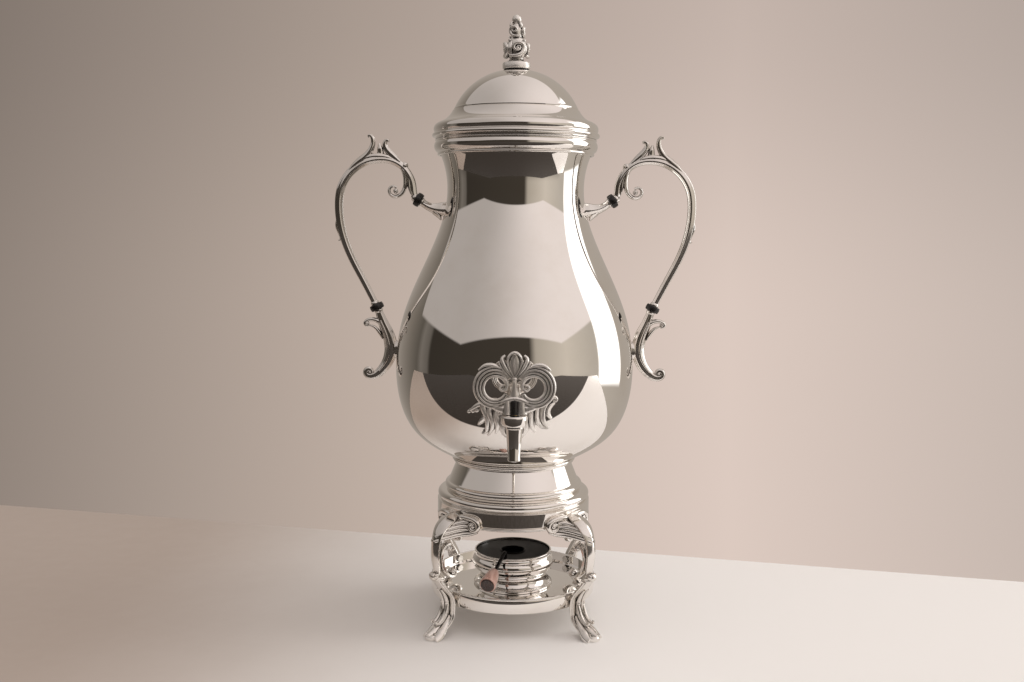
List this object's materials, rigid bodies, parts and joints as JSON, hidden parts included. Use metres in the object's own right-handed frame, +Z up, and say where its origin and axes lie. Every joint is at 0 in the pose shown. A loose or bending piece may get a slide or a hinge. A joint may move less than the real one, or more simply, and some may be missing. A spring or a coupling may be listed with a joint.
{
  "type": "coffee urn on a warming stand",
  "caption": "Pear-shaped silver-plated coffee urn with scroll handles, a front tap with a pierced key, a lift-off domed lid and a legged warming stand that holds a small burner.",
  "frame": {"origin": "on the urn's vertical axis, at table level", "axes": "+Z up along the urn's axis, -Y towards the tap, +X towards the right handle"},
  "size_m": [0.2476, 0.1976, 0.4131],
  "materials": {
    "polished_silver": "mirror-polished silver plate",
    "cast_silver": "cast relief in silver plate, bright on the ridges and darker in the recesses",
    "black_insulator": "black heat-proof composition, satin",
    "brass_fitting": "turned brass",
    "steel_pin": "drawn steel",
    "rubber_seal": "black rubber",
    "burner_black": "sooty black metal",
    "wick_pad": "charred wick pad",
    "knob_wood": "reddish varnished wood",
    "dark_cap": "dark brown lacquer"
  },
  "bodies": {
    "stand": {"stand_shell": "polished_silver", "stand_gallery": "polished_silver", "warmer_plate": "polished_silver", "leg_front_left": "cast_silver", "leg_front_right": "cast_silver", "leg_back_left": "cast_silver", "leg_back_right": "cast_silver", "leg_screws_upper": "brass_fitting", "leg_screws_lower": "brass_fitting"},
    "urn": {"urn_bowl": "polished_silver", "urn_shoulder": "polished_silver", "urn_neck": "polished_silver", "mouth_collar": "polished_silver", "urn_foot_ring": "polished_silver", "handle_left": "cast_silver", "handle_right": "cast_silver", "upper_arm_left": "cast_silver", "upper_arm_right": "cast_silver", "lower_bracket_left": "cast_silver", "lower_bracket_right": "cast_silver", "upper_insulator_left": "black_insulator", "upper_insulator_right": "black_insulator", "lower_insulator_left": "black_insulator", "lower_insulator_right": "black_insulator", "upper_handle_pins": "steel_pin", "lower_handle_pins": "steel_pin", "spigot_escutcheon": "cast_silver", "spigot_body": "polished_silver", "spigot_bonnet": "polished_silver", "spigot_packing": "rubber_seal", "spigot_gasket": "rubber_seal", "spigot_nut": "brass_fitting"},
    "key": {"spigot_key": "cast_silver", "spigot_plug": "brass_fitting"},
    "lid": {"lid_cover": "polished_silver", "lid_bezel": "polished_silver", "finial": "cast_silver", "finial_washer": "rubber_seal", "finial_nut": "brass_fitting"},
    "burner": {"burner_foot": "polished_silver", "burner_bowl": "polished_silver", "burner_cup": "burner_black", "burner_wick": "wick_pad"},
    "damper": {"damper_plate": "burner_black", "damper_rod": "polished_silver", "damper_knob": "knob_wood", "damper_ferrule": "dark_cap"}
  },
  "joints": [
    {"name": "urn_lift", "type": "slide", "parent": "stand", "child": "urn", "axis": [0, 0, 1], "range_m": [0, 0.08]},
    {"name": "lid_lift", "type": "slide", "parent": "urn", "child": "lid", "axis": [0, 0, 1], "range_m": [0, 0.06]},
    {"name": "key_turn", "type": "hinge", "parent": "urn", "child": "key", "pos_m": [0, -0.108, 0.149], "axis": [0, 0, 1], "range_deg": [0, 90]},
    {"name": "burner_lift", "type": "slide", "parent": "stand", "child": "burner", "axis": [0, -0.9578, 0.2873], "range_m": [0, 0.1]},
    {"name": "damper_turn", "type": "hinge", "parent": "burner", "child": "damper", "pos_m": [0, 0, 0.0438], "axis": [0, 0, 1], "range_deg": [-8, 40]}
  ]
}
